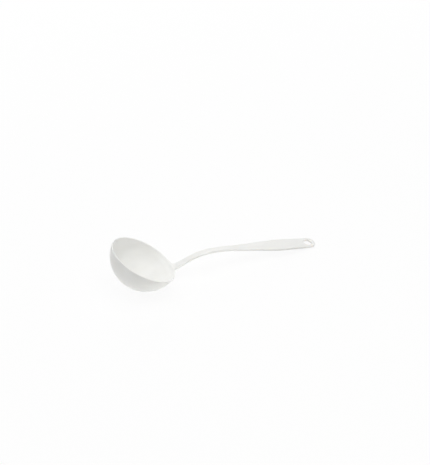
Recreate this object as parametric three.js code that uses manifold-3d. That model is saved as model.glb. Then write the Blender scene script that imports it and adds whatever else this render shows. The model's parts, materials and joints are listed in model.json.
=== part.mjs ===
// A plastic kitchen ladle in millimetres, +Z up: a round bowl, and a bent strap handle with a hanging eyelet.
// It lies as it rests on a table, on the underside of the bowl and the end of the handle.
// The handle points along +X, and the origin is on the table under the middle of the ladle.

import * as THREE from 'three';
import { mergeVertices } from 'three/addons/utils/BufferGeometryUtils.js';
import Module from 'manifold-3d';

// Bowl: a cap of a ball, a little less than half of it, with a rounded rim.
const BOWL_DIAMETER = 90;
const BOWL_DEPTH = 39.3;
const BOWL_WALL = 2;

// Where the handle's mid-line starts: inside the bowl's outer radius, and below the rim.
const ROOT_INSET = 1.9;
const ROOT_DROP = 4.2;

// Side view of the handle: a straight neck, a round bend and a straight grip. Angles are from the rim's plane.
const NECK_ANGLE = THREE.MathUtils.degToRad(52.1);
const NECK_LENGTH = 24.5;
const BEND_RADIUS = 90;
const GRIP_ANGLE = THREE.MathUtils.degToRad(20.2);

// Top view of the handle, from the bowl outwards: the grip starts narrow, flares, then tapers to the eyelet.
const ROOT_WIDTH = 11.5;
const ROOT_FADE = 12;
const NECK_WIDTH = 8.7;
const GRIP_LEAD = 14.5;
const FLARE_LENGTH = 67;
const GRIP_WIDTH = 23.8;
const TAPER_LENGTH = 44.5;
const FLARE_BLEND = 2;
const SHOULDER_BLEND = 1;

// Section of the strap: flat faces, a softer edge above than below.
const STRAP_THICKNESS = 3.2;
const UPPER_EDGE = 1.1;
const LOWER_EDGE = 0.7;

// Hanging eyelet: a round hole in the handle's end, eased on both faces.
const EYELET_DIAMETER = 10.5;
const EYELET_WALL = 4.3;
const EYELET_SETBACK = 1.3;
const EYELET_CHAMFER = 0.8;

// Joint: the root on the bowl runs on as a tang, which is bonded into a slot under the neck.
const ROOT_LENGTH = 9;
const TANG_LENGTH = 12;
const TANG_THICKNESS = 1.2;
const TANG_RELIEF = 0.2;
const SLOT_WALL = 1.5;
const BOND_GAP = 0.3;

// Facets, the step that measures the outline's slope, and how far a cutter reaches past the faces it cuts.
const BOWL_SIDES = 64;
const WALL_STEPS = 13;
const LIP_STEPS = 4;
const STATION_SPACING = 5;
const TIP_STEPS = 7;
const EDGE_STEPS = 2;
const EYELET_SIDES = 32;
const SLOPE_PROBE = 1;
const CUT_MARGIN = 2;

// Sizes that follow from those above.
const bowlRadius = BOWL_DIAMETER / 2;
const ballRadius = (bowlRadius ** 2 + BOWL_DEPTH ** 2) / (2 * BOWL_DEPTH);
const ballHeight = ballRadius - BOWL_DEPTH;
const rimTurn = -Math.asin(ballHeight / ballRadius);
const tipWidth = EYELET_DIAMETER + 2 * EYELET_WALL;
const bendLength = BEND_RADIUS * (NECK_ANGLE - GRIP_ANGLE);
const gripStart = NECK_LENGTH + bendLength;
const flareStart = gripStart + GRIP_LEAD;
const flareEnd = flareStart + FLARE_LENGTH;
const tipCentre = flareEnd + TAPER_LENGTH;

const wasm = await Module();
wasm.setup();

// Turns a closed geometry into a solid that can be joined and cut.
function toSolid(geometry) {
  geometry.deleteAttribute('normal');
  geometry.deleteAttribute('uv');
  const merged = mergeVertices(geometry);
  const corners = merged.index.array;
  const triangles = [];
  for (let i = 0; i < corners.length; i += 3) {
    const [a, b, c] = corners.slice(i, i + 3);
    if (a !== b && b !== c && c !== a) triangles.push(a, b, c);
  }
  return new wasm.Manifold(new wasm.Mesh({
    numProp: 3,
    vertProperties: new Float32Array(merged.attributes.position.array),
    triVerts: new Uint32Array(triangles),
  }));
}

function toGeometry(solid) {
  const { vertProperties, triVerts, numProp } = solid.getMesh();
  const geometry = new THREE.BufferGeometry();
  geometry.setAttribute('position', new THREE.BufferAttribute(vertProperties, numProp));
  geometry.setIndex(new THREE.BufferAttribute(triVerts, 1));
  geometry.computeVertexNormals();
  return geometry;
}

// A turned shape about +Z. Half a facet of turn puts a flat, not a corner, in the plane of the handle.
function turned(profile, sides) {
  return new THREE.LatheGeometry(profile, sides, Math.PI / sides).rotateX(Math.PI / 2);
}

// A point of the straight neck's own frame: run along it from its start, side and height across it.
function neckPoint(run, side, height) {
  const x = bowlRadius - ROOT_INSET + run * Math.cos(NECK_ANGLE) - height * Math.sin(NECK_ANGLE);
  const z = -ROOT_DROP + run * Math.sin(NECK_ANGLE) + height * Math.cos(NECK_ANGLE);
  return new THREE.Vector3(x, side, z);
}

// A point of the whole strap, at a run along the mid-line, a side and a height above it.
function strapPoint(run, side, height) {
  if (run <= NECK_LENGTH) return neckPoint(run, side, height);
  const bendCentre = neckPoint(NECK_LENGTH, 0, -BEND_RADIUS);
  const angle = NECK_ANGLE - Math.min(run - NECK_LENGTH, bendLength) / BEND_RADIUS;
  const along = Math.max(run - gripStart, 0);
  const x = bendCentre.x - (BEND_RADIUS + height) * Math.sin(angle) + along * Math.cos(angle);
  const z = bendCentre.z + (BEND_RADIUS + height) * Math.cos(angle) + along * Math.sin(angle);
  return new THREE.Vector3(x, side, z);
}

// The larger of two values, with the corner between them rounded over about the blend.
function softMax(a, b, blend) {
  return (a + b + Math.hypot(a - b, blend)) / 2;
}

// Half the strap's width at a run along the mid-line.
function halfWidth(run) {
  const neck = NECK_WIDTH + (ROOT_WIDTH - NECK_WIDTH) * Math.exp(-run / ROOT_FADE);
  const flare = NECK_WIDTH + (GRIP_WIDTH - NECK_WIDTH) * (run - flareStart) / FLARE_LENGTH;
  const taper = GRIP_WIDTH + (tipWidth - GRIP_WIDTH) * (run - flareEnd) / TAPER_LENGTH;
  const width = -softMax(-softMax(neck, flare, FLARE_BLEND), -taper, SHOULDER_BLEND);
  return width / 2;
}

// Outline stations of the strap between two runs: half the width there, and the outline's outward normal.
function sideStations(from, to) {
  const steps = Math.ceil((to - from) / STATION_SPACING);
  const stations = [];
  for (let i = 0; i <= steps; i += 1) {
    const run = from + (to - from) * i / steps;
    const rise = halfWidth(run + SLOPE_PROBE) - halfWidth(run - SLOPE_PROBE);
    const normal = new THREE.Vector2(-rise, 2 * SLOPE_PROBE).normalize();
    stations.push({ run, half: halfWidth(run), normal });
  }
  return stations;
}

// Stations of the rounded end, up to half a step short of its middle, where it closes with a small flat.
function tipStations() {
  const step = Math.PI / (2 * TIP_STEPS + 1);
  const radius = halfWidth(tipCentre);
  const stations = [];
  for (let i = 1; i <= TIP_STEPS; i += 1) {
    const normal = new THREE.Vector2(Math.sin(i * step), Math.cos(i * step));
    stations.push({ run: tipCentre + radius * normal.x, half: radius * normal.y, normal });
  }
  return stations;
}

// Side of the strap's section from its lower face to its upper face, with both edges rounded.
function edgeRows() {
  const half = STRAP_THICKNESS / 2;
  const lower = Math.min(LOWER_EDGE, half);
  const upper = Math.min(UPPER_EDGE, half);
  const rows = [];
  for (let i = 0; i <= EDGE_STEPS; i += 1) {
    const turn = Math.PI / 2 * i / EDGE_STEPS;
    rows.push({ height: lower - half - lower * Math.cos(turn), inset: lower * (1 - Math.sin(turn)) });
  }
  for (let i = 0; i <= EDGE_STEPS; i += 1) {
    const turn = Math.PI / 2 * i / EDGE_STEPS;
    rows.push({ height: half - upper + upper * Math.sin(turn), inset: upper * (1 - Math.cos(turn)) });
  }
  return rows;
}

// Lofts the strap's section through its stations. Each ring goes up one side and down the other.
function loftStrap(stations) {
  const rows = edgeRows();
  const ringSize = 2 * rows.length;
  const positions = [];
  for (const { run, half, normal } of stations) {
    const side = rows.map(({ height, inset }) => (
      strapPoint(run - inset * normal.x, half - inset * normal.y, height)
    ));
    const mirrored = side.map(({ x, y, z }) => new THREE.Vector3(x, -y, z)).reverse();
    for (const point of [...side, ...mirrored]) positions.push(...point.toArray());
  }
  const lastRing = (stations.length - 1) * ringSize;
  const faces = [];
  for (let ring = 0; ring < lastRing; ring += ringSize) {
    for (let j = 0; j < ringSize; j += 1) {
      const a = ring + j;
      const b = ring + (j + 1) % ringSize;
      faces.push(a, b, b + ringSize, a, b + ringSize, a + ringSize);
    }
  }
  for (let row = 0; row + 1 < rows.length; row += 1) {
    const a = row;
    const b = row + 1;
    const c = ringSize - 2 - row;
    const d = ringSize - 1 - row;
    faces.push(a, c, b, a, d, c);
    faces.push(lastRing + a, lastRing + b, lastRing + c, lastRing + a, lastRing + c, lastRing + d);
  }
  const geometry = new THREE.BufferGeometry();
  geometry.setAttribute('position', new THREE.Float32BufferAttribute(positions, 3));
  geometry.setIndex(faces);
  return toSolid(geometry);
}

// A block in the neck's frame, between two runs and two heights.
function neckBlock(runFrom, runTo, width, heightFrom, heightTo) {
  const geometry = new THREE.BoxGeometry(runTo - runFrom, width, heightTo - heightFrom);
  const centre = neckPoint((runFrom + runTo) / 2, 0, (heightFrom + heightTo) / 2);
  return toSolid(geometry.rotateY(-NECK_ANGLE).translate(centre.x, centre.y, centre.z));
}

// An arc about the ball's centre, in the turning profile, from the pole up to the rim.
function wallArc(radius) {
  return new THREE.EllipseCurve(0, ballHeight, radius, radius, -Math.PI / 2, rimTurn).getPoints(WALL_STEPS);
}

// The bowl's hollow, from its inner wall up past the rim, as a solid for cutting.
function bowlHollow() {
  const wall = wallArc(ballRadius - BOWL_WALL);
  const mouth = wall.at(-1).x;
  const top = BOWL_WALL + CUT_MARGIN;
  const profile = [...wall, new THREE.Vector2(mouth, top), new THREE.Vector2(0, top)];
  return toSolid(turned(profile, BOWL_SIDES));
}

function bowlShell() {
  const outer = wallArc(ballRadius);
  const inner = wallArc(ballRadius - BOWL_WALL).reverse();
  const lip = outer.at(-1).clone().add(inner[0]).multiplyScalar(0.5);
  const lipRadius = BOWL_WALL / 2;
  const rim = new THREE.EllipseCurve(lip.x, lip.y, lipRadius, lipRadius, rimTurn, rimTurn + Math.PI);
  const profile = [...outer, ...rim.getPoints(LIP_STEPS).slice(1, -1), ...inner];
  return toSolid(turned(profile, BOWL_SIDES));
}

// Ends and faces of the joint, in the neck's frame.
const rootStart = -(BOWL_WALL + STRAP_THICKNESS);
const tangEnd = ROOT_LENGTH + TANG_LENGTH;
const underside = -STRAP_THICKNESS / 2;
const tangBottom = underside + TANG_RELIEF;
const tangTop = tangBottom + TANG_THICKNESS;
const slotWidth = NECK_WIDTH - 2 * SLOT_WALL;

// The bowl with the handle's root, which starts in the wall and is trimmed flush inside, and the tang.
function makeBowl() {
  const root = loftStrap(sideStations(rootStart, ROOT_LENGTH)).subtract(bowlHollow());
  const tang = neckBlock(ROOT_LENGTH / 2, tangEnd, slotWidth - 2 * BOND_GAP, tangBottom, tangTop);
  return toGeometry(bowlShell().add(root).add(tang));
}

// A spool that cuts the eyelet with a chamfer on both faces of the strap.
function eyeletCutter() {
  const radius = EYELET_DIAMETER / 2;
  const half = STRAP_THICKNESS / 2;
  const chamfer = Math.min(EYELET_CHAMFER, half);
  const waist = half - chamfer;
  const mouth = radius + chamfer + CUT_MARGIN;
  const end = half + CUT_MARGIN;
  const corners = [[0, -end], [mouth, -end], [radius, -waist], [radius, waist], [mouth, end], [0, end]];
  const spool = turned(corners.map(([x, y]) => new THREE.Vector2(x, y)), EYELET_SIDES);
  const place = strapPoint(tipCentre - EYELET_SETBACK, 0, 0);
  return toSolid(spool.rotateY(-GRIP_ANGLE).translate(place.x, place.y, place.z));
}

function makeHandle() {
  const shoulder = ROOT_LENGTH + BOND_GAP;
  const strap = loftStrap([...sideStations(shoulder, tipCentre), ...tipStations()]);
  const slotEnd = tangEnd + BOND_GAP;
  const slot = neckBlock(shoulder - CUT_MARGIN, slotEnd, slotWidth, underside - CUT_MARGIN, tangTop + BOND_GAP);
  return toGeometry(strap.subtract(slot).subtract(eyeletCutter()));
}

function lowestPoint(geometry, tilt) {
  const { position } = geometry.attributes;
  let lowest = Infinity;
  for (let i = 0; i < position.count; i += 1) {
    lowest = Math.min(lowest, position.getZ(i) * Math.cos(tilt) - position.getX(i) * Math.sin(tilt));
  }
  return lowest;
}

// Halves the range of tilt until the bowl and the handle's end touch the same level table.
function restingTilt(bowl, handle) {
  const halvings = 40;
  let level = 0;
  let steep = Math.PI / 2;
  for (let i = 0; i < halvings; i += 1) {
    const tilt = (level + steep) / 2;
    if (lowestPoint(handle, tilt) > lowestPoint(bowl, tilt)) level = tilt;
    else steep = tilt;
  }
  return (level + steep) / 2;
}

// White plastic with a soft gloss.
function pieceMesh(name, geometry) {
  const material = new THREE.MeshStandardMaterial({ color: 0xf0efec, roughness: 0.36, metalness: 0 });
  const mesh = new THREE.Mesh(geometry, material);
  mesh.name = name;
  return mesh;
}

const bowl = makeBowl();
const handle = makeHandle();
const ladle = new THREE.Group();
ladle.add(pieceMesh('bowl', bowl), pieceMesh('handle', handle));
ladle.rotation.y = restingTilt(bowl, handle);

const table = new THREE.Group();
table.add(ladle);
const reach = new THREE.Box3().setFromObject(table, true);
const middle = reach.getCenter(new THREE.Vector3());
ladle.position.set(-middle.x, -middle.y, -reach.min.z);

export default table;
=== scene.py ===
# %% [markdown]
# # A white plastic ladle
# The real thing is a soup ladle of white moulded plastic. It lies on its bowl and on the end of its handle.
# The imported solids fix its size and place, but they are made of flat facets. This lesson lays a smooth skin
# over both of them: a bowl with its root and tang, and a handle with its eyelet. Each skin then gets a
# plastic finish, and the ladle gets a plain white table and soft light.
# We load the solids first, and a small function gives the box of one of them.

# %% Load the solids
import json
import math

import bmesh
import bpy
from mathutils import Matrix, Vector


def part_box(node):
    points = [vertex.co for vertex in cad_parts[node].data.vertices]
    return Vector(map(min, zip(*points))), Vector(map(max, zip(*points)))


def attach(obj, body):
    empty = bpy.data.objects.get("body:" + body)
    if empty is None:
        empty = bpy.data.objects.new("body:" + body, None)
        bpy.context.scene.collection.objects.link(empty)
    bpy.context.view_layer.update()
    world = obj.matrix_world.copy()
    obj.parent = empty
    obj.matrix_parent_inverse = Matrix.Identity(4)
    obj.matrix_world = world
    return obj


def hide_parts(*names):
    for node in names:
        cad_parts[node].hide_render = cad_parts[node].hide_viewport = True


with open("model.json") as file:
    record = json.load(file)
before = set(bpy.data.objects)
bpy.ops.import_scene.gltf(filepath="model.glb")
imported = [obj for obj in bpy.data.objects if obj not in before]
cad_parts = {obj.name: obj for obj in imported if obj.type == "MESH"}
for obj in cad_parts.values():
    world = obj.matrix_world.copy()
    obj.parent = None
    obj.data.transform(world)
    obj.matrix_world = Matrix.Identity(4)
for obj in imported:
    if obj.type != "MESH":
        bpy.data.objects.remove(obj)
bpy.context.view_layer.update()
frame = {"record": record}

scene = bpy.context.scene
scene.view_settings.view_transform = "Standard"

# %% [markdown]
# ## Camera
# The photograph looks down on the ladle from the front, a little from the bowl's side. A camera could be
# placed by eye, but here its turn, rise, distance and lens come from fitting the ladle's outline to the
# photograph. It aims at a point over the middle of the ladle, so it needs no lens shift.

# %% Camera
CAMERA_TURN = math.radians(-20.31)
CAMERA_RISE = math.radians(38.08)
CAMERA_DISTANCE = 1.2
CAMERA_AIM = Vector((-0.0004, 0.00686, 0.05182))
CAMERA_LENS = 72.04


def direction(turn, rise):
    """The unit vector from the ladle towards a viewer or a lamp."""
    return Vector((math.sin(turn) * math.cos(rise), -math.cos(turn) * math.cos(rise), math.sin(rise)))


def look_along(thing, towards_thing, aim, distance):
    """Places a camera or lamp at a distance from a point, and turns it to face that point."""
    thing.location = aim + distance * towards_thing
    thing.rotation_mode = "QUATERNION"
    thing.rotation_quaternion = (-towards_thing).to_track_quat("-Z", "Y")
    scene.collection.objects.link(thing)


camera = bpy.data.objects.new("camera", bpy.data.cameras.new("camera"))
camera.data.lens = CAMERA_LENS
look_along(camera, direction(CAMERA_TURN, CAMERA_RISE), CAMERA_AIM, CAMERA_DISTANCE)
scene.camera = camera
print("camera at", [round(value, 3) for value in camera.location])

# %% [markdown]
# ## Sizes
# These are the ladle's driving sizes, the same ones that its solids were made from. All shapes are worked
# out in the bowl's own frame: the origin is the middle of the rim, +X points at the handle and +Z up the
# bowl's axis. The frame tells how the ladle lies. The flat back of the grip gives the tilt, and the lowest
# corner of the bowl's box gives the place of the ball that the bowl is a cap of.

# %% Sizes and resting place
MM = 0.001
BOWL_DIAMETER = 90 * MM
BOWL_DEPTH = 39.3 * MM
BOWL_WALL = 2 * MM
ROOT_INSET = 1.9 * MM
ROOT_DROP = 4.2 * MM
NECK_ANGLE = math.radians(52.1)
NECK_LENGTH = 24.5 * MM
BEND_RADIUS = 90 * MM
GRIP_ANGLE = math.radians(20.2)
STRAP_THICKNESS = 3.2 * MM

bowl_radius = BOWL_DIAMETER / 2
ball_radius = (bowl_radius ** 2 + BOWL_DEPTH ** 2) / (2 * BOWL_DEPTH)
ball_height = ball_radius - BOWL_DEPTH
rim_slope = math.acos(ball_height / ball_radius)

grip_back = Vector(frame["record"]["mounts"][0]["axis"])
tilt = GRIP_ANGLE - math.asin(grip_back.x)
bowl_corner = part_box("bowl")[0]
ball_centre = Vector((bowl_corner.x + ball_radius, 0, bowl_corner.z + ball_radius))
lean = Matrix.Rotation(tilt, 4, "Y")
resting_place = Matrix.Translation(ball_centre) @ lean @ Matrix.Translation((0, 0, -ball_height))
print("tilt", round(math.degrees(tilt), 2), "degrees, ball radius", round(ball_radius / MM, 2), "mm")

# %% [markdown]
# ## The strap's line and width
# The handle is one strap: a straight neck, a round bend and a straight grip. It could be a curve with a
# bevel, but then its width would be hard to control. Two small functions are clearer. One gives a point of
# the strap at a run along its mid-line, and the other gives half its width there: wide at the root, narrow
# along the neck, flaring to the shoulder of the grip and tapering to the eyelet.

# %% The strap's line
strap_top = STRAP_THICKNESS / 2
grip_start = NECK_LENGTH + BEND_RADIUS * (NECK_ANGLE - GRIP_ANGLE)


def neck_point(run, side, height):
    """A point of the straight neck, at a run along its mid-line."""
    return Vector((
        bowl_radius - ROOT_INSET + run * math.cos(NECK_ANGLE) - height * math.sin(NECK_ANGLE),
        side,
        -ROOT_DROP + run * math.sin(NECK_ANGLE) + height * math.cos(NECK_ANGLE),
    ))


bend_centre = neck_point(NECK_LENGTH, 0, -BEND_RADIUS)


def strap_point(run, side, height):
    """A point of the whole strap: neck, bend and grip."""
    if run <= NECK_LENGTH:
        return neck_point(run, side, height)
    angle = max(NECK_ANGLE - (run - NECK_LENGTH) / BEND_RADIUS, GRIP_ANGLE)
    along = max(run - grip_start, 0)
    return bend_centre + Vector((
        -(BEND_RADIUS + height) * math.sin(angle) + along * math.cos(angle),
        side,
        (BEND_RADIUS + height) * math.cos(angle) + along * math.sin(angle),
    ))


print("the grip starts", round(grip_start / MM, 1), "mm along the strap")

# %% The strap's width
ROOT_WIDTH = 13.5 * MM
ROOT_FADE = 10 * MM
NECK_WIDTH = 9.2 * MM
GRIP_LEAD = 14.5 * MM
FLARE_LENGTH = 67 * MM
GRIP_WIDTH = 23.8 * MM
TAPER_LENGTH = 44.5 * MM
FLARE_BLEND = 2 * MM
SHOULDER_BLEND = 2 * MM
EYELET_DIAMETER = 10.5 * MM
EYELET_WALL = 4.3 * MM

tip_width = EYELET_DIAMETER + 2 * EYELET_WALL
flare_start = grip_start + GRIP_LEAD
flare_end = flare_start + FLARE_LENGTH
tip_centre = flare_end + TAPER_LENGTH


def soft_max(a, b, blend):
    """The larger of two values, with the corner between them rounded over."""
    return (a + b + math.hypot(a - b, blend)) / 2


def half_width(run):
    """Half the strap's width at a run along its mid-line."""
    neck = NECK_WIDTH + (ROOT_WIDTH - NECK_WIDTH) * math.exp(-run / ROOT_FADE)
    flare = NECK_WIDTH + (GRIP_WIDTH - NECK_WIDTH) * (run - flare_start) / FLARE_LENGTH
    taper = GRIP_WIDTH + (tip_width - GRIP_WIDTH) * (run - flare_end) / TAPER_LENGTH
    return -soft_max(-soft_max(neck, flare, FLARE_BLEND), -taper, SHOULDER_BLEND) / 2


print("strap length", round((tip_centre + half_width(tip_centre)) / MM, 1), "mm")

# %% [markdown]
# ## A cage for a subdivision surface
# On the real moulding the neck flows out of the rim with a soft fillet. A boolean would join two surfaces
# with a hard crease, and a voxel remesh would leave ripples on the clean ball. So the whole ladle is first
# one cage of four-sided faces, which a subdivision surface then rounds. Rows of points that lie close
# together make a tight edge, and rows that lie far apart make a soft one.

# %% Cage helpers
cage_points = []
cage_faces = []


def add_row(points):
    """Adds points to the cage and returns their numbers."""
    first = len(cage_points)
    cage_points.extend(points)
    return list(range(first, len(cage_points)))


def bridge(row, next_row, closed=False, gap=()):
    """Fills the strip between two rows with faces, except where it is left open."""
    count = len(row)
    for i in range(count if closed else count - 1):
        if i not in gap:
            j = (i + 1) % count
            cage_faces.append((row[i], row[j], next_row[j], next_row[i]))


print("the cage starts with", len(cage_points), "points")

# %% [markdown]
# ## The bowl's cage
# The bowl is a cap of a ball with a thin wall. A plain lathe would gather all its faces in one pole, right
# where the eye rests in the middle of the bowl. So the bottom of the bowl is a square grid that is pressed
# into a disc, and the wall grows from the edge of that grid as rings. The columns crowd together at the
# handle, where the root needs them.

# %% Bottom grid of the bowl
GRID_CELLS = 24
CAP_SLOPE = math.radians(40)


def ball_point(radius, slope, turn):
    """A point on a ball about the bowl's centre: slope up from the pole, turn round from the handle."""
    reach = radius * math.sin(slope)
    return Vector((reach * math.cos(turn), reach * math.sin(turn), ball_height - radius * math.cos(slope)))


def disc_place(i, j):
    """Presses a square grid into a unit disc."""
    x = 2 * i / GRID_CELLS - 1
    y = 2 * j / GRID_CELLS - 1
    return x * math.sqrt(1 - y * y / 2), y * math.sqrt(1 - x * x / 2)


def grid_edge():
    """The grid's edge cells in turn order, from the middle of the side that faces the handle."""
    side = range(GRID_CELLS)
    edge = [(GRID_CELLS, j) for j in side] + [(GRID_CELLS - i, GRID_CELLS) for i in side]
    edge += [(0, GRID_CELLS - j) for j in side] + [(i, 0) for i in side]
    half = GRID_CELLS // 2
    return edge[half:] + edge[:half]


def add_grid(radius):
    """Adds the bottom of the bowl and returns the numbers of its edge points."""
    rows = []
    for i in range(GRID_CELLS + 1):
        row = []
        for j in range(GRID_CELLS + 1):
            u, v = disc_place(i, j)
            row.append(ball_point(radius, CAP_SLOPE * math.hypot(u, v), math.atan2(v, u)))
        rows.append(add_row(row))
    for row, next_row in zip(rows, rows[1:]):
        bridge(row, next_row)
    return [rows[i][j] for i, j in grid_edge()]


print("bottom grid:", GRID_CELLS, "by", GRID_CELLS, "cells")

# %% Columns of the bowl
BOWL_COLUMNS = 4 * GRID_CELLS
ROOT_COLUMNS = 3
ROOT_COLUMN_STEP = math.radians(2.5)
ROOT_SPAN = math.radians(9.2)

half_columns = BOWL_COLUMNS // 2
extra_at_back = math.pi - ROOT_COLUMN_STEP * half_columns
extra_at_root = ROOT_SPAN - ROOT_COLUMN_STEP * ROOT_COLUMNS
spread_power = math.log(extra_at_back / extra_at_root) / math.log(half_columns / ROOT_COLUMNS)
spread = extra_at_back / half_columns ** spread_power


def rim_turn(column):
    """Turn of a column at the rim, where the columns crowd together towards the handle."""
    steps = column if column <= half_columns else BOWL_COLUMNS - column
    turn = ROOT_COLUMN_STEP * steps + spread * steps ** spread_power
    return turn if column <= half_columns else -turn


grid_turns = [math.atan2(*reversed(disc_place(i, j))) for i, j in grid_edge()]
grid_turns[half_columns] = math.pi
rim_turns = [rim_turn(column) for column in range(BOWL_COLUMNS)]
print("columns at the rim:", BOWL_COLUMNS, "from", round(math.degrees(rim_turns[1]), 2), "degrees apart")

# %% [markdown]
# The wall's rings are listed by how far they lie below the rim. Six close rings on the outside frame the
# patch where the root leaves the wall. Near the rim the wall thins on its inside, and the rim itself is a
# half-round lip. A solidify modifier would be quicker, but it gives one thickness and a square rim. Towards
# the handle the rim dips and rolls out, and before the root the lip's rings lie on the top face of the neck
# instead. So the inside of the bowl runs on into the neck without a ridge, as it does on the real ladle.

# %% Dip of the rim
RIM_DIP = 1.5 * MM
RIM_DIP_SPAN = math.radians(70)
ROOT_DIP = 1.6 * MM
ROOT_DIP_SPAN = (math.radians(5), math.radians(22))


def smooth_step(low, high, value):
    """Rises smoothly from 0 at low to 1 at high."""
    share = min(max((value - low) / (high - low), 0), 1)
    return share * share * (3 - 2 * share)


def handle_side(turn):
    """Fades from 1 at the handle to 0 well round the rim."""
    return 1 - smooth_step(0, RIM_DIP_SPAN, abs(turn))


def root_side(turn):
    """Fades from 1 before the root to 0 just beside it."""
    return 1 - smooth_step(*ROOT_DIP_SPAN, abs(turn))


def rim_dip(turn):
    """How far the rim dips at a turn: a little all round the handle's side, and more at the root."""
    return RIM_DIP * handle_side(turn) + ROOT_DIP * root_side(turn)


print("the rim dips by", round(rim_dip(0) / MM, 1), "mm at the root")

# %% Rings of the wall and the lip
ROOT_RINGS = [0, 1.1 * MM, 2.25 * MM, 3.4 * MM, 4.5 * MM, 5.6 * MM]
RIM_ROLL = 1 * MM
RIM_WALL = 1.5 * MM
THIN_FADE = 9 * MM
LIP_SWELL = 0.85
DIP_FADE = 16 * MM
ROLL_FADE = 9 * MM
SHOULDER_COLUMNS = 7


def wall_ring(radius, drop, thinning=0):
    """A ring of the wall at a drop below the rim. Near the rim it follows the dip, roll and thinning."""
    slope = rim_slope - drop / ball_radius
    share = smooth_step(CAP_SLOPE, rim_slope - ROOT_RINGS[-1] / ball_radius, slope)
    turns = [low + (high - low) * share for low, high in zip(grid_turns, rim_turns)]
    dip = (1 - smooth_step(0, DIP_FADE, drop)) / ball_radius
    roll = RIM_ROLL * (1 - smooth_step(0, ROLL_FADE, drop))
    thin = thinning * (1 - smooth_step(0, THIN_FADE, drop))
    ring = []
    for turn in turns:
        outward = roll * handle_side(turn) + thin * (1 - root_side(turn))
        ring.append(ball_point(radius + outward, slope - dip * rim_dip(turn), turn))
    return add_row(ring)


def lip_ring(degrees, run):
    """A ring of the half-round lip, 0 degrees outside and 180 inside. At the root it lies on the neck."""
    swell = LIP_SWELL * RIM_WALL / 2
    radius = ball_radius - RIM_WALL / 2 + swell * math.cos(math.radians(degrees))
    slope = rim_slope + swell * math.sin(math.radians(degrees)) / radius
    ring = []
    for column, turn in enumerate(rim_turns):
        roll = RIM_ROLL * handle_side(turn)
        on_lip = ball_point(radius + roll, slope - rim_dip(turn) / ball_radius, turn)
        from_root = min(column, BOWL_COLUMNS - column)
        share = 1 - smooth_step(ROOT_COLUMNS, SHOULDER_COLUMNS, from_root)
        ring.append(on_lip.lerp(neck_point(run, on_lip.y, strap_top), share))
    return add_row(ring)


print("the lip is", round(LIP_SWELL * RIM_WALL / MM, 2), "mm thick")

# %% Bowl cage
OUTER_RINGS = [7 * MM, 9 * MM, 12 * MM, 16 * MM, 21 * MM, 27 * MM]
INNER_RINGS = [0, 1.6 * MM, 4.5 * MM, 9 * MM, 15 * MM, 21 * MM, 27 * MM]
LIP_RINGS = [(45, 5.2 * MM), (90, 4.2 * MM), (135, 3.1 * MM)]

inner_radius = ball_radius - BOWL_WALL
root_gap = [column % BOWL_COLUMNS for column in range(-ROOT_COLUMNS, ROOT_COLUMNS)]
outer_grid = add_grid(ball_radius)
outer_rings = [wall_ring(ball_radius, drop) for drop in reversed(OUTER_RINGS)]
root_rings = [wall_ring(ball_radius, drop) for drop in reversed(ROOT_RINGS)]
lip_rings = [lip_ring(*values) for values in LIP_RINGS]
inner_rings = [wall_ring(inner_radius, drop, BOWL_WALL - RIM_WALL) for drop in INNER_RINGS]
inner_grid = add_grid(inner_radius)

root_rings += lip_rings[:1]
below_root = [outer_grid] + outer_rings + root_rings[:1]
above_root = lip_rings + inner_rings + [inner_grid]
for rings in (below_root, above_root):
    for ring, next_ring in zip(rings, rings[1:]):
        bridge(ring, next_ring, closed=True)
for ring, next_ring in zip(root_rings, root_rings[1:]):
    bridge(ring, next_ring, closed=True, gap=root_gap)
print("bowl cage:", len(cage_points), "points,", len(cage_faces), "faces")

# %% [markdown]
# ## The strap's cage
# Each ring of the strap has 24 points: seven across the top, five down one side, seven across the underside
# and five up the other side. The open patch in the bowl's wall has 24 points too, so the strap grows out of
# it without a seam. The first rings lean with the wall and swell a little, which rounds the fillet. The neck
# and the bend arch up by half a millimetre, which fits the photograph better than a straight neck.
# The middle of each side stands out by a hair. That is the parting line, where the mould's halves met.

# %% Section of the strap
UPPER_EDGE = 0.9 * MM
LOWER_EDGE = 0.7 * MM
EDGE_HOLD = 1.6
PARTING_HEIGHT = -0.2 * MM
PARTING_WIDTH = 0.3 * MM
PARTING_RISE = 0.07 * MM
NECK_BOW = 0.55 * MM
BOW_SPAN = (14 * MM, 74 * MM)

side_rows = [
    (strap_top - UPPER_EDGE, 0),
    (PARTING_HEIGHT + PARTING_WIDTH / 2, 0),
    (PARTING_HEIGHT, PARTING_RISE),
    (PARTING_HEIGHT - PARTING_WIDTH / 2, 0),
    (LOWER_EDGE - strap_top, 0),
]


def across(half, edge):
    """Seven places across a face of the strap, from one rounded edge to the other."""
    outer = half - edge
    hold = half - EDGE_HOLD * edge
    return [-outer, -hold, -hold / 2, 0, hold / 2, hold, outer]


def bow(run):
    """How far the neck arches up out of its line."""
    share = min(max((run - BOW_SPAN[0]) / (BOW_SPAN[1] - BOW_SPAN[0]), 0), 1)
    return NECK_BOW * math.sin(math.pi * share) ** 2


def strap_ring(run, leaning=0, swell=0):
    """A ring of the strap. A leaning ring runs further along at its top than at its underside."""
    half = half_width(run) + swell
    top = strap_top + swell
    section = [(side, top) for side in across(half, UPPER_EDGE)]
    section += [(half + rise, height) for height, rise in side_rows]
    section += [(side, -top) for side in reversed(across(half, LOWER_EDGE))]
    section += [(-half - rise, height) for height, rise in reversed(side_rows)]
    arch = bow(run)
    return add_row([strap_point(run + leaning * height, side, height + arch) for side, height in section])


print("the neck arches up by", round(NECK_BOW / MM, 2), "mm")

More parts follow.
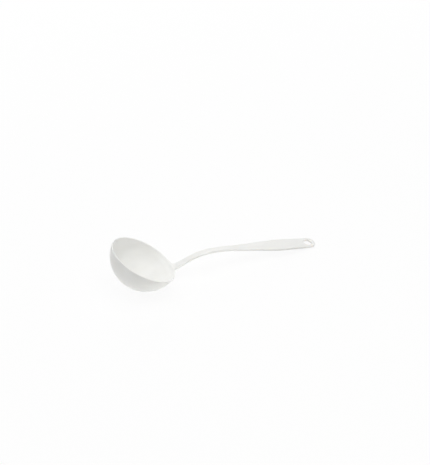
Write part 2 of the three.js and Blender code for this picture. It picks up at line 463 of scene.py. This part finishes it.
# %% Strap rings
ROOT_LEANS = [(4.3 * MM, 1.25, 0.25 * MM), (6 * MM, 0.75, 0.1 * MM), (7.6 * MM, 0.3, 0.03 * MM)]
ROOT_LENGTH = 9 * MM
EYELET_SETBACK = 1.3 * MM
END_LENGTH = 12 * MM
RING_SPACING = 4.5 * MM
SHOULDER_REACH = 3 * MM


def evenly(start, end):
    """Runs from just after the start to the end, no further apart than the ring spacing."""
    steps = math.ceil((end - start) / RING_SPACING)
    return [start + (end - start) * (i + 1) / steps for i in range(steps)]


eyelet_run = tip_centre - EYELET_SETBACK
end_start = eyelet_run - END_LENGTH
stops = [ROOT_LENGTH, NECK_LENGTH, grip_start, flare_start, flare_end - SHOULDER_REACH, flare_end]
stops += [flare_end + SHOULDER_REACH, end_start]
runs = [ROOT_LENGTH] + [run for start, end in zip(stops, stops[1:]) for run in evenly(start, end)]

columns = [column % BOWL_COLUMNS for column in range(-ROOT_COLUMNS, ROOT_COLUMNS + 1)]
patch = [root_rings[-1][column] for column in columns]
patch += [ring[columns[-1]] for ring in reversed(root_rings[1:-1])]
patch += [root_rings[0][column] for column in reversed(columns)]
patch += [ring[columns[0]] for ring in root_rings[1:-1]]
strap_rings = [patch] + [strap_ring(*lean_values) for lean_values in ROOT_LEANS]
strap_rings += [strap_ring(run) for run in runs]
for ring, next_ring in zip(strap_rings, strap_rings[1:]):
    bridge(ring, next_ring, closed=True)
print("strap cage:", len(strap_rings), "rings of", len(patch), "points")

# %% [markdown]
# ## The eyelet end
# The handle ends in a half-round plate with a hole to hang it by. A boolean hole would need its own bevel.
# Here loops of 32 points run round the plate instead, from its outline over the top face, down through the
# hole and back along the underside. The last ring of the strap gives the loops on the outline
# their first points.

# %% Loops round the eyelet end
SIDE_STEPS = 6
ARC_STEPS = 14

tip_radius = half_width(tip_centre)
last_ring = strap_rings[-1]
right_start = len(across(tip_radius, UPPER_EDGE))
bottom_start = right_start + len(side_rows)
left_start = bottom_start + right_start
top_cut = last_ring[:right_start]
right_cut = last_ring[right_start:bottom_start]
bottom_cut = last_ring[bottom_start:left_start][::-1]
left_cut = last_ring[left_start:][::-1]


def end_outline():
    """The outline past the last ring, from one corner round to the other: place and outward normal."""
    steps = [(i + 1) / SIDE_STEPS for i in range(SIDE_STEPS)]
    runs_along = [end_start + (tip_centre - end_start) * step for step in steps]
    right = [((run, half_width(run)), (0, 1)) for run in runs_along]
    left = [((run, -side), (0, -1)) for (run, side), normal in right]
    arc = []
    for i in range(1, ARC_STEPS):
        angle = math.pi / 2 - math.pi * i / ARC_STEPS
        normal = (math.cos(angle), math.sin(angle))
        arc.append(((tip_centre + tip_radius * normal[0], tip_radius * normal[1]), normal))
    return right + arc + list(reversed(left))


def outline_loop(inset, height):
    """Points round the end, set in from its outline."""
    return add_row([
        strap_point(run - inset * normal[0], side - inset * normal[1], height)
        for (run, side), normal in end_outline()
    ])


def held_loop(inset, edge, height):
    """A whole loop inside the outline, which also passes just inside the last ring."""
    half = half_width(end_start)
    shift = inset - edge
    squeeze = (half - inset) / (half - edge)
    start = [strap_point(end_start + shift, side * squeeze, height) for side in across(half, edge)]
    return add_row(start) + outline_loop(inset, height)


def hole_loop(radius, height):
    """A round loop about the eyelet's axis, starting on the side of the last ring."""
    count = len(top_cut) + len(end_outline())
    middle_of_cut = len(top_cut) // 2
    loop = []
    for i in range(count):
        angle = math.pi - 2 * math.pi * (i - middle_of_cut) / count
        run = eyelet_run + radius * math.cos(angle)
        loop.append(strap_point(run, radius * math.sin(angle), height))
    return add_row(loop)


print("a loop round the end has", len(top_cut) + len(end_outline()), "points")

# %% Eyelet end
EYELET_EASE = 0.95 * MM
EYELET_HOLD = 1.5 * MM
EYELET_WAIST = 0.25
OUTLINE_HOLD = 1.7 * MM

hole = EYELET_DIAMETER / 2
waist = EYELET_WAIST * STRAP_THICKNESS
top_edge = top_cut + outline_loop(UPPER_EDGE, strap_top)
bottom_edge = bottom_cut + outline_loop(LOWER_EDGE, -strap_top)
through_loops = [
    top_edge,
    held_loop(OUTLINE_HOLD, UPPER_EDGE, strap_top),
    hole_loop(hole + EYELET_HOLD, strap_top),
    hole_loop(hole + EYELET_EASE, strap_top),
    hole_loop(hole, waist),
    hole_loop(hole, 0),
    hole_loop(hole, -waist),
    hole_loop(hole + EYELET_EASE, -strap_top),
    hole_loop(hole + EYELET_HOLD, -strap_top),
    held_loop(OUTLINE_HOLD, LOWER_EDGE, -strap_top),
    bottom_edge,
]
for loop, next_loop in zip(through_loops, through_loops[1:]):
    bridge(loop, next_loop, closed=True)

corner = len(top_cut) - 1
side_loops = [
    [first] + outline_loop(-rise, height) + [last]
    for first, last, (height, rise) in zip(right_cut, left_cut, side_rows)
]
around = [top_edge[corner:] + top_edge[:1]] + side_loops + [bottom_edge[corner:] + bottom_edge[:1]]
for loop, next_loop in zip(around, around[1:]):
    bridge(loop, next_loop)
print("whole cage:", len(cage_points), "points,", len(cage_faces), "faces")

# %% [markdown]
# ## Round the cage
# The subdivision modifier rounds the cage, and its result becomes a plain mesh. On a ball
# that surface lies a little inside its cage. It is only a few hundredths of a millimetre, but uneven, so
# the points of the wall are set back onto the true ball, fading out near the lip and the root.

# %% Subdivide the cage
SMOOTH_LEVELS = 2


def mesh_object(name, mesh):
    """Puts a mesh into the scene as an object at the origin."""
    thing = bpy.data.objects.new(name, mesh)
    scene.collection.objects.link(thing)
    return thing


def settled(thing):
    """The object's mesh with its modifiers applied, as a mesh of its own."""
    bpy.context.view_layer.update()
    shown = thing.evaluated_get(bpy.context.evaluated_depsgraph_get())
    return bpy.data.meshes.new_from_object(shown)


cage_mesh = bpy.data.meshes.new("cage")
cage_mesh.from_pydata(cage_points, [], cage_faces)
tidy = bmesh.new()
tidy.from_mesh(cage_mesh)
bmesh.ops.delete(tidy, geom=[vert for vert in tidy.verts if not vert.link_faces], context="VERTS")
bmesh.ops.recalc_face_normals(tidy, faces=tidy.faces)
open_edges = sum(not edge.is_manifold for edge in tidy.edges)
tidy.to_mesh(cage_mesh)
tidy.free()

cage = mesh_object("cage", cage_mesh)
rounding = cage.modifiers.new("rounding", "SUBSURF")
rounding.levels = SMOOTH_LEVELS
skin = settled(cage)
bpy.data.objects.remove(cage)
print("open edges in the cage:", open_edges, "and faces in the skin:", len(skin.polygons))

# %% True up the ball
LIP_CLEAR = (4 * MM, 9 * MM)
ROOT_CLEAR = (13 * MM, 22 * MM)


def onto_ball(point):
    """Moves a point of the wall onto the true ball, except near the lip and the root."""
    centre = Vector((0, 0, ball_height))
    from_centre = point - centre
    outside = from_centre.length > ball_radius - BOWL_WALL / 2
    true_radius = ball_radius if outside else inner_radius
    clear = smooth_step(*LIP_CLEAR, -point.z - rim_dip(math.atan2(point.y, point.x)))
    if outside:
        clear *= smooth_step(*ROOT_CLEAR, (point - neck_point(0, 0, 0)).length)
    return point.lerp(centre + from_centre.normalized() * true_radius, clear)


below_rim = [vert for vert in skin.vertices if vert.co.z < 0 and vert.co.x < bowl_radius]
for vert in below_rim:
    vert.co = onto_ball(vert.co)
print("points of the skin below the rim:", len(below_rim))

# %% [markdown]
# ## Part the bowl and the handle
# The bowl and the handle are moulded apart and bonded. The root on the bowl ends in a square face with a
# tang below it, and the tang sits in a slot under the neck. So the skin is cut across the neck, both ends
# are closed and eased, the tang is joined to the bowl and the slot is cut from the handle. More rings in
# the cage could make the joint too, but booleans are right here, because its edges are crisp.

# %% Cut the skin
BOND_GAP = 0.3 * MM
SEAM_GAP = 0.08 * MM
SEAM_EASE = 0.1 * MM
SEAM_SEGMENTS = 2
ROUND_PROFILE = 0.5

seam = ROOT_LENGTH + BOND_GAP / 2
neck_direction = neck_point(1, 0, 0) - neck_point(0, 0, 0)


def eased(shape, name, edges, width, segments):
    """Rounds some edges of a shape and puts it into the scene as an object."""
    bmesh.ops.bevel(
        shape, geom=edges, offset=width, segments=segments, profile=ROUND_PROFILE, affect="EDGES"
    )
    bmesh.ops.recalc_face_normals(shape, faces=shape.faces)
    mesh = bpy.data.meshes.new(name)
    shape.to_mesh(mesh)
    shape.free()
    return mesh_object(name, mesh)


def part_skin(name, run, keep_bowl):
    """One side of the skin, cut across the neck at a run, with its end closed and eased."""
    half = bmesh.new()
    half.from_mesh(skin)
    cut = bmesh.ops.bisect_plane(
        half,
        geom=half.verts[:] + half.edges[:] + half.faces[:],
        plane_co=neck_point(run, 0, 0),
        plane_no=neck_direction,
        clear_outer=keep_bowl,
        clear_inner=not keep_bowl,
    )
    edges = [item for item in cut["geom_cut"] if isinstance(item, bmesh.types.BMEdge)]
    bmesh.ops.edgeloop_fill(half, edges=edges)
    return eased(half, name, edges, SEAM_EASE, SEAM_SEGMENTS)


bowl = part_skin("ladle_bowl", seam - SEAM_GAP / 2, keep_bowl=True)
handle = part_skin("ladle_handle", seam + SEAM_GAP / 2, keep_bowl=False)
print("cut", round(seam / MM, 2), "mm along the neck")

# %% Tang and slot
TANG_LENGTH = 12 * MM
TANG_THICKNESS = 1.2 * MM
TANG_RELIEF = 0.4 * MM
TANG_CORNER = 0.3 * MM
CORNER_SEGMENTS = 3
SLOT_WALL = 1.75 * MM
SLOT_OVERCUT = 2 * MM

tang_bottom = TANG_RELIEF - strap_top
tang_top = tang_bottom + TANG_THICKNESS
slot_width = NECK_WIDTH - 2 * SLOT_WALL
tang_start = ROOT_LENGTH / 2
tang_end = ROOT_LENGTH + TANG_LENGTH


def neck_block(name, run_from, run_to, width, height_from, height_to):
    """A block in the neck's frame with eased edges."""
    block = bmesh.new()
    bmesh.ops.create_cube(block, size=1)
    for vert in block.verts:
        run = run_from + (run_to - run_from) * (vert.co.x + 0.5)
        height = height_from + (height_to - height_from) * (vert.co.z + 0.5)
        vert.co = neck_point(run, width * vert.co.y, height)
    return eased(block, name, block.edges[:], TANG_CORNER, CORNER_SEGMENTS)


def combine(piece, tool, operation):
    """Joins a block to a piece or cuts it from the piece, and removes the block."""
    join = piece.modifiers.new("joint", "BOOLEAN")
    join.operation = operation
    join.solver = "EXACT"
    join.object = tool
    mesh = settled(piece)
    piece.modifiers.clear()
    piece.data = mesh
    bpy.data.objects.remove(tool)


tang_width = slot_width - 2 * BOND_GAP
tang = neck_block("tang", tang_start, tang_end, tang_width, tang_bottom, tang_top)
combine(bowl, tang, "UNION")
slot_start = ROOT_LENGTH - SLOT_OVERCUT
slot_end = tang_end + BOND_GAP
slot_bottom = -strap_top - SLOT_OVERCUT
slot_top = tang_top + BOND_GAP
slot = neck_block("slot", slot_start, slot_end, slot_width, slot_bottom, slot_top)
combine(handle, slot, "DIFFERENCE")
print("the tang is", round((tang_end - ROOT_LENGTH) / MM, 1), "mm long")

# %% Lay the pieces down
SHARP_ANGLE = math.radians(40)

for piece in (bowl, handle):
    piece.data.transform(resting_place)
    piece.data.shade_smooth()
    piece.data.set_sharp_from_angle(angle=SHARP_ANGLE)
    print(piece.name, "has", len(piece.data.polygons), "faces")

# %% [markdown]
# ## Parts of a plastic finish
# White plastic is never one flat colour. The resin is a little uneven, the mould leaves a fine grain and a
# slow ripple, edges are rubbed smooth and use leaves hair-thin marks. Painted image maps could show all
# that, but they need unwrapping. Here each effect is a node group that works on the place of a point in
# metres. Both pieces use the same groups, each with its own values, because the bowl wears differently
# from the grip.
#
# First come small helpers: they add a node, start a group, do a sum, add a noise and map a range.

# %% Node helpers
def add_node(tree, kind, inputs, **settings):
    """Adds a node with its settings. Its inputs are plain values or outputs of other nodes."""
    node = tree.nodes.new(kind)
    for name, value in settings.items():
        setattr(node, name, value)
    for name, value in inputs.items():
        if isinstance(value, bpy.types.NodeSocket):
            tree.links.new(node.inputs[name], value)
        else:
            node.inputs[name].default_value = value
    return node


def new_group(name, inputs, outputs):
    """Starts a node group with named sockets, and returns it with the sockets inside it."""
    group = bpy.data.node_groups.new(name, "ShaderNodeTree")
    for in_out, sockets in (("INPUT", inputs), ("OUTPUT", outputs)):
        for socket_name, kind in sockets:
            group.interface.new_socket(socket_name, in_out=in_out, socket_type="NodeSocket" + kind)
    return group, group.nodes.new("NodeGroupInput").outputs, group.nodes.new("NodeGroupOutput").inputs


def sum_of(tree, operation, first, second=0.0):
    """Adds a sum of one or two numbers and returns its result."""
    return add_node(tree, "ShaderNodeMath", {0: first, 1: second}, operation=operation).outputs[0]


def noise(tree, place, scale, detail, coarseness=0.5):
    """Adds a noise over a place and returns its value. More detail adds finer layers to it."""
    inputs = {"Vector": place, "Scale": scale, "Detail": detail, "Roughness": coarseness}
    return add_node(tree, "ShaderNodeTexNoise", inputs).outputs["Fac"]


def map_range(tree, value, span, ends=(0.0, 1.0), curve="LINEAR"):
    """Maps a span of a value onto the range between two ends, and returns the result."""
    low, high = span
    start, end = ends
    inputs = {"Value": value, "From Min": low, "From Max": high, "To Min": start, "To Max": end}
    return add_node(tree, "ShaderNodeMapRange", inputs, interpolation_type=curve).outputs["Result"]


print("node groups before the finish:", len(bpy.data.node_groups))

# %% [markdown]
# The grain is the fine matt texture that a spark-eroded mould gives to plastic. The ripple is the slow
# unevenness of a moulded wall, which only shows in its reflections. Both are too fine for real geometry, so
# they are heights in metres, which a Bump node with a distance of one metre can use as they are.

# %% Mould grain
GRAIN_HEIGHT = 0.003 * MM
GRAIN_DETAIL = 2.0
RIPPLE_HEIGHT = 0.02 * MM
RIPPLE_DETAIL = 1.0

mould_grain, given, result = new_group(
    "mould_grain",
    [("Place", "Vector"), ("Grain Size", "Float"), ("Ripple Size", "Float")],
    [("Height", "Float"), ("Grain", "Float")],
)
grain_scale = sum_of(mould_grain, "DIVIDE", 1.0, given["Grain Size"])
ripple_scale = sum_of(mould_grain, "DIVIDE", 1.0, given["Ripple Size"])
grain = noise(mould_grain, given["Place"], grain_scale, GRAIN_DETAIL)
ripple = noise(mould_grain, given["Place"], ripple_scale, RIPPLE_DETAIL)
fine = sum_of(mould_grain, "MULTIPLY", grain, GRAIN_HEIGHT)
slow = sum_of(mould_grain, "MULTIPLY", ripple, RIPPLE_HEIGHT)
mould_grain.links.new(result["Height"], sum_of(mould_grain, "ADD", fine, slow))
mould_grain.links.new(result["Grain"], grain)
print(mould_grain.name, "has", len(mould_grain.nodes), "nodes")

# %% [markdown]
# The resin flows into the mould from one end, and its white pigment ends up a little uneven along that flow.
# A noise that is stretched along the ladle mixes two whites that differ by a few hundredths. The Mix node
# repeats its socket names for each kind of data, so its colour sockets are picked by number.

# %% Resin tone
FLOW_STRETCH = (0.35, 1, 1)
TONE_DETAIL = 4.0
TONE_COARSENESS = 0.6
TONE_SPREAD = (0.38, 0.62)
MIX_COLOURS = {"first": 6, "second": 7, "result": 2}

resin_tone, given, result = new_group(
    "resin_tone",
    [("Place", "Vector"), ("Patch Size", "Float"), ("White", "Color"), ("Shade", "Color")],
    [("Color", "Color")],
)
flow = add_node(
    resin_tone, "ShaderNodeVectorMath", {0: given["Place"], 1: FLOW_STRETCH}, operation="MULTIPLY"
).outputs[0]
patch_scale = sum_of(resin_tone, "DIVIDE", 1.0, given["Patch Size"])
uneven = noise(resin_tone, flow, patch_scale, TONE_DETAIL, TONE_COARSENESS)
share = map_range(resin_tone, uneven, TONE_SPREAD, curve="SMOOTHSTEP")
tone = add_node(
    resin_tone,
    "ShaderNodeMix",
    {"Factor": share, MIX_COLOURS["first"]: given["White"], MIX_COLOURS["second"]: given["Shade"]},
    data_type="RGBA",
)
resin_tone.links.new(result["Color"], tone.outputs[MIX_COLOURS["result"]])
print(resin_tone.name, "has", len(resin_tone.nodes), "nodes")

# %% [markdown]
# Hands, hooks and drawers polish the edges. The Geometry node's pointiness is high on outside corners, so a
# narrow range of it picks out the rim, the sides of the strap and the eyelet. Noise breaks the band up.

# %% Rubbed edges
EDGE_RANGE = (0.515, 0.57)
BREAK_DETAIL = 3.0
BREAK_RANGE = (0.3, 0.6)

rubbed_edges, given, result = new_group(
    "rubbed_edges", [("Place", "Vector"), ("Break Size", "Float")], [("Mask", "Float")]
)
pointiness = rubbed_edges.nodes.new("ShaderNodeNewGeometry").outputs["Pointiness"]
edge = map_range(rubbed_edges, pointiness, EDGE_RANGE, curve="SMOOTHSTEP")
break_scale = sum_of(rubbed_edges, "DIVIDE", 1.0, given["Break Size"])
broken = noise(rubbed_edges, given["Place"], break_scale, BREAK_DETAIL)
left_over = map_range(rubbed_edges, broken, BREAK_RANGE)
rubbed_edges.links.new(result["Mask"], sum_of(rubbed_edges, "MULTIPLY", edge, left_over))
print(rubbed_edges.name, "has", len(rubbed_edges.nodes), "nodes")

# %% [markdown]
# Use marks are hair-thin scratches. A noise that is stretched a lot along one direction has thin lines
# where it passes through its middle value. Two such sets cross each other, and a broad noise keeps them to
# patches.

# %% Use marks
NOISE_MIDDLE = 0.5
MARK_TURNS = [(0.3, 0.5, 0.4), (-0.4, 0.2, 1.5)]
MARK_STRETCH = (0.02, 1, 1)
MARK_DETAIL = 0.0
MARK_WIDTH = 0.012
PATCHES_PER_METRE = 30
PATCH_DETAIL = 2.0
PATCH_RANGE = (0.5, 0.66)

use_marks, given, result = new_group(
    "use_marks", [("Place", "Vector"), ("Mark Spacing", "Float")], [("Mask", "Float")]
)
mark_scale = sum_of(use_marks, "DIVIDE", 1.0, given["Mark Spacing"])
marks = 0.0
for turn in MARK_TURNS:
    turned = add_node(
        use_marks, "ShaderNodeMapping", {"Vector": given["Place"], "Rotation": turn, "Scale": MARK_STRETCH}
    ).outputs[0]
    streak = noise(use_marks, turned, mark_scale, MARK_DETAIL)
    from_middle = sum_of(use_marks, "ABSOLUTE", sum_of(use_marks, "SUBTRACT", streak, NOISE_MIDDLE))
    line = map_range(use_marks, from_middle, (0.0, MARK_WIDTH), (1.0, 0.0), curve="SMOOTHSTEP")
    marks = sum_of(use_marks, "MAXIMUM", line, marks)
patches = noise(use_marks, given["Place"], PATCHES_PER_METRE, PATCH_DETAIL)
worn = map_range(use_marks, patches, PATCH_RANGE)
use_marks.links.new(result["Mask"], sum_of(use_marks, "MULTIPLY", marks, worn))
print(use_marks.name, "has", len(use_marks.nodes), "nodes")

# %% [markdown]
# ## Plastic finish
# The plastic of a ladle is a tough white resin with a soft gloss. Its colour comes from the resin tone, a
# shade lighter where edges are rubbed and darker in the marks. The same masks change the roughness, and the
# grain and the marks make the bump. Light enters white plastic and leaves it a millimetre or two away. With
# a plain diffuse colour the thin edges would look too hard, so part of the finish scatters light under the
# surface. The bowl scatters less, because its thin wall would glow through. It is also a little glossier
# than the grip, which has a coarser grain.

# %% Plastic finish
WHITE = (0.876, 0.876, 0.861, 1)
SHADE = (0.852, 0.851, 0.832, 1)
PLASTIC_IOR = 1.49
SCATTER_COLOURS = (1, 0.97, 0.93)
PATCH_SIZE = 26 * MM
RIPPLE_SIZE = 14 * MM
BREAK_SIZE = 6 * MM
EDGE_LIGHTENS = 0.012
MARK_DARKENS = 0.05
EDGE_POLISHES = 0.07
MARK_ROUGHENS = 0.14
GRAIN_ROUGHENS = 0.08
MARK_DEPTH = 0.004 * MM


def use_group(tree, group, inputs):
    """Places a node group in a material, with its own values, and returns its outputs."""
    return add_node(tree, "ShaderNodeGroup", inputs, node_tree=group).outputs


def plastic_finish(name, roughness, grain_size, mark_spacing, scatter_share, scatter_depth):
    """A white moulded plastic."""
    material = bpy.data.materials.new(name)
    material.use_nodes = True
    tree = material.node_tree
    shader = tree.nodes["Principled BSDF"]
    place = tree.nodes.new("ShaderNodeTexCoord").outputs["Object"]
    grain_values = {"Place": place, "Grain Size": grain_size, "Ripple Size": RIPPLE_SIZE}
    tone_values = {"Place": place, "Patch Size": PATCH_SIZE, "White": WHITE, "Shade": SHADE}
    grain = use_group(tree, mould_grain, grain_values)
    tone = use_group(tree, resin_tone, tone_values)
    edges = use_group(tree, rubbed_edges, {"Place": place, "Break Size": BREAK_SIZE})
    marks = use_group(tree, use_marks, {"Place": place, "Mark Spacing": mark_spacing})

    edge_gain = sum_of(tree, "MULTIPLY", edges["Mask"], EDGE_LIGHTENS)
    mark_loss = sum_of(tree, "MULTIPLY", marks["Mask"], MARK_DARKENS)
    brightness = sum_of(tree, "ADD", sum_of(tree, "SUBTRACT", edge_gain, mark_loss), 1.0)
    scaling = {0: tone["Color"], "Scale": brightness}
    colour = add_node(tree, "ShaderNodeVectorMath", scaling, operation="SCALE").outputs[0]
    tree.links.new(shader.inputs["Base Color"], colour)

    from_middle = sum_of(tree, "SUBTRACT", grain["Grain"], NOISE_MIDDLE)
    matt = sum_of(tree, "MULTIPLY", from_middle, GRAIN_ROUGHENS)
    matt = sum_of(tree, "ADD", matt, sum_of(tree, "MULTIPLY", marks["Mask"], MARK_ROUGHENS))
    matt = sum_of(tree, "SUBTRACT", matt, sum_of(tree, "MULTIPLY", edges["Mask"], EDGE_POLISHES))
    tree.links.new(shader.inputs["Roughness"], sum_of(tree, "ADD", matt, roughness))

    scratch = sum_of(tree, "MULTIPLY", marks["Mask"], MARK_DEPTH)
    height = sum_of(tree, "SUBTRACT", grain["Height"], scratch)
    bump = add_node(tree, "ShaderNodeBump", {"Height": height, "Distance": 1.0, "Strength": 1.0})
    tree.links.new(shader.inputs["Normal"], bump.outputs["Normal"])
    shader.inputs["IOR"].default_value = PLASTIC_IOR
    shader.inputs["Subsurface Weight"].default_value = scatter_share
    shader.inputs["Subsurface Scale"].default_value = scatter_depth
    shader.inputs["Subsurface Radius"].default_value = SCATTER_COLOURS
    return material


print("white", WHITE[:3], "and shade", SHADE[:3])

# %% A finish for each piece
finishes = {
    bowl: plastic_finish(
        "bowl_plastic",
        roughness=0.43,
        grain_size=0.5 * MM,
        mark_spacing=2.4 * MM,
        scatter_share=0.5,
        scatter_depth=1 * MM,
    ),
    handle: plastic_finish(
        "handle_plastic",
        roughness=0.46,
        grain_size=0.7 * MM,
        mark_spacing=3.5 * MM,
        scatter_share=0.9,
        scatter_depth=1.5 * MM,
    ),
}
for piece, finish in finishes.items():
    piece.data.materials.clear()
    piece.data.materials.append(finish)
    print(piece.name, "gets", finish.name, "with", len(finish.node_tree.nodes), "nodes")

# %% [markdown]
# ## Table
# The ladle lies on a plain white table, and the photograph shows no edge of it. A small plane would show
# its edge from low down, so the table is a wide disc. The camera and the reflections see it mostly as pure
# white, because part of its finish is an emission that only those rays meet. Near the ladle a share of plain
# matt paint is left, and that share keeps the ladle's shadow. All other light meets only the paint.

# %% Table
TABLE_RADIUS = 4
TABLE_SIDES = 96

table_mesh = bpy.data.meshes.new("table")
turns_round = [2 * math.pi * i / TABLE_SIDES for i in range(TABLE_SIDES)]
table_edge = [(TABLE_RADIUS * math.cos(turn), TABLE_RADIUS * math.sin(turn), 0) for turn in turns_round]
table_mesh.from_pydata(table_edge, [], [tuple(range(TABLE_SIDES))])
table = mesh_object("table", table_mesh)
print("table", 2 * TABLE_RADIUS, "m across")

# %% Table finish
TABLE_COLOUR = (0.93, 0.93, 0.93, 1)
TABLE_LIFT = 0.91
LIFT_REACH = (0.3, 1)


def background_rays(tree):
    """Is 1 for the rays that see a background: from the camera, off a gloss or through glass."""
    path = tree.nodes.new("ShaderNodeLightPath").outputs
    seen = sum_of(tree, "ADD", path["Is Camera Ray"], path["Is Glossy Ray"])
    return sum_of(tree, "ADD", seen, path["Is Transmission Ray"])


table_finish = bpy.data.materials.new("table_finish")
table_finish.use_nodes = True
tree = table_finish.node_tree
tree.nodes.clear()
place = tree.nodes.new("ShaderNodeTexCoord").outputs["Object"]
reach = add_node(tree, "ShaderNodeVectorMath", {0: place}, operation="LENGTH").outputs["Value"]
lift = map_range(tree, reach, LIFT_REACH, (TABLE_LIFT, 1.0))
white_share = sum_of(tree, "MULTIPLY", background_rays(tree), lift)
paint = add_node(tree, "ShaderNodeBsdfDiffuse", {"Color": TABLE_COLOUR}).outputs[0]
white = add_node(tree, "ShaderNodeEmission", {"Strength": 1.0}).outputs[0]
mix = add_node(tree, "ShaderNodeMixShader", {"Fac": white_share, 1: paint, 2: white})
add_node(tree, "ShaderNodeOutputMaterial", {"Surface": mix.outputs[0]})
table.data.materials.append(table_finish)
print(table_finish.name, "has", len(tree.nodes), "nodes")

# %% [markdown]
# ## Light
# The photograph has soft light from all round and no hard shadow. One small lamp would be simpler, but its
# shadow would be hard. So two softboxes hang overhead, and one lamp stands on each of the four sides. The
# low ones in front and on the right are a little warm, and so is a weak panel that lies on the table by
# the bowl and shines up. It is there because the bowl in the photograph grows lighter towards its
# underside. Two panels stay out of the gloss: the one at the back would bleach the grip in low views, and
# the one on the table would show on the bowl. The powers come from comparing the shades on the ladle with
# the photograph's. A dim even sky fills what the lamps leave dark, and the camera and the reflections see
# that sky as white.
#
# Each row of the list gives a lamp's name, its turn and rise in degrees, its power in watts and its colour.

# %% Lamps
LAMP_DISTANCE = 1.6
LAMP_SIZE = 1.1
NEUTRAL = (1, 1, 1)
WARM = (1, 1, 0.96)
LAMPS = [
    ("top_softbox", 0, 90, 6.9, NEUTRAL),
    ("top_right_softbox", 45, 70, 7.1, NEUTRAL),
    ("back_panel", 170, 30, 7.7, NEUTRAL),
    ("left_softbox", -105, 50, 7, NEUTRAL),
    ("front_panel", 10, 22, 2.95, WARM),
    ("right_panel", 60, 22, 3.4, WARM),
]
TABLE_PANEL_SIZE = 0.4
TABLE_PANEL_POWER = 0.115
TABLE_PANEL_PLACE = Vector((-0.15, -0.06, 0.5 * MM))
KEPT_FROM_GLOSS = ("back_panel", "table_panel")


def add_lamp(name, size, power, colour, towards_lamp, aim, distance):
    """Adds a square lamp that the camera can't see."""
    lamp = bpy.data.objects.new(name, bpy.data.lights.new(name, "AREA"))
    lamp.data.size = size
    lamp.data.energy = power
    lamp.data.color = colour
    lamp.visible_camera = False
    lamp.visible_glossy = name not in KEPT_FROM_GLOSS
    look_along(lamp, towards_lamp, aim, distance)


for name, turn, rise, power, colour in LAMPS:
    towards_lamp = direction(math.radians(turn), math.radians(rise))
    add_lamp(name, LAMP_SIZE, power, colour, towards_lamp, Vector((0, 0, 0)), LAMP_DISTANCE)
from_below = Vector((0, 0, -1))
add_lamp("table_panel", TABLE_PANEL_SIZE, TABLE_PANEL_POWER, WARM, from_below, TABLE_PANEL_PLACE, 0)
print("lamps:", [name for name, *values in LAMPS], "and table_panel")

# %% Sky
SKY = 0.1

world = bpy.data.worlds.new("studio")
scene.world = world
world.use_nodes = True
tree = world.node_tree
background = tree.nodes["Background"]
background.inputs["Color"].default_value = (*NEUTRAL, 1)
sky_strength = sum_of(tree, "MAXIMUM", background_rays(tree), SKY)
tree.links.new(background.inputs["Strength"], sky_strength)
print(world.name, "sky of strength", SKY)

# %% [markdown]
# ## Hand over
# Each skin now takes the place of its solid. It rides on the ladle's one body and hides the solid that it
# stands for.

# %% Ride on the frame
for piece, node in ((bowl, "bowl"), (handle, "handle")):
    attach(piece, "root")
    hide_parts(node)
    print(piece.name, "stands for", node)
